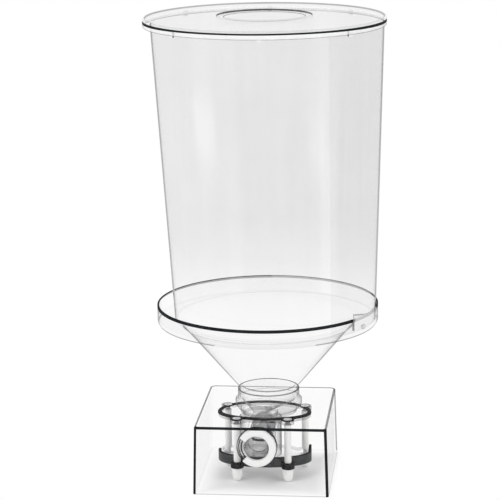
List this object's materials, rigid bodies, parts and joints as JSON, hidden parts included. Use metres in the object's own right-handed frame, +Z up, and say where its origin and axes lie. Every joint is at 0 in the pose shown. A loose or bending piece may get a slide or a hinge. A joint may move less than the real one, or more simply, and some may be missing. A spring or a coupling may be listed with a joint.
{
  "type": "volumetric filling machine",
  "caption": "Table-top volumetric filling machine with a tapered clear hopper and lid over a clear box that holds a rotary dosing valve.",
  "frame": {"origin": "On the table top, under the middle of the lid and of the funnel's neck.", "axes": "+Z up, front of the cover box and clip ring towards -Y, +X to the right as seen from the front."},
  "size_m": [0.2496, 0.25, 0.492],
  "materials": {
    "clear_plastic": "polished clear acrylic",
    "white_plastic": "turned white acetal",
    "dark_plastic": "satin dark moulding",
    "seal_rubber": "matt black seal rubber",
    "clear_silicone": "translucent silicone rubber",
    "steel": "turned stainless steel"
  },
  "bodies": {
    "stand": {"cover_box": "clear_plastic", "collar": "clear_plastic", "neck_seal": "clear_silicone", "disc_gasket": "seal_rubber", "upper_disc": "clear_plastic", "inlet_seal": "clear_silicone", "valve_body": "clear_plastic", "rear_bush": "white_plastic", "front_flange": "clear_plastic", "front_window": "clear_plastic", "lower_plate": "clear_plastic", "front_bracket": "dark_plastic", "tie_rod_front_left": "steel", "tie_rod_front_right": "steel", "tie_rod_rear_left": "steel", "tie_rod_rear_right": "steel", "post_sleeve_front_left": "white_plastic", "post_sleeve_front_right": "white_plastic", "post_sleeve_rear_left": "white_plastic", "post_sleeve_rear_right": "white_plastic", "cap_nut_front_left": "white_plastic", "cap_nut_front_right": "white_plastic", "cap_nut_rear_left": "white_plastic", "cap_nut_rear_right": "white_plastic"},
    "hopper": {"hopper_wall": "clear_plastic", "funnel": "clear_plastic", "rim_screw": "steel"},
    "cover_lid": {"lid": "clear_plastic"},
    "rotor": {"measuring_rotor": "clear_plastic", "cup_ring": "seal_rubber", "drive_shaft": "steel"},
    "clip": {"clip_ring": "white_plastic"},
    "lock": {"lock_screw": "steel"}
  },
  "joints": [
    {"name": "hopper_lift", "type": "slide", "parent": "stand", "child": "hopper", "axis": [0, 0, 1], "range_m": [0, 0.05]},
    {"name": "lid_lift", "type": "slide", "parent": "hopper", "child": "cover_lid", "axis": [0, 0, 1], "range_m": [0, 0.1]},
    {"name": "rotor_turn", "type": "hinge", "parent": "stand", "child": "rotor", "pos_m": [-0.009, 0, 0.042], "axis": [0, 1, 0], "continuous": true},
    {"name": "clip_pull", "type": "slide", "parent": "stand", "child": "clip", "axis": [0, -1, 0], "range_m": [0, 0.02]},
    {"name": "lock_turn", "type": "hinge", "parent": "stand", "child": "lock", "pos_m": [0.0055, -0.034, 0.06], "axis": [0, 0, 1], "continuous": true}
  ]
}
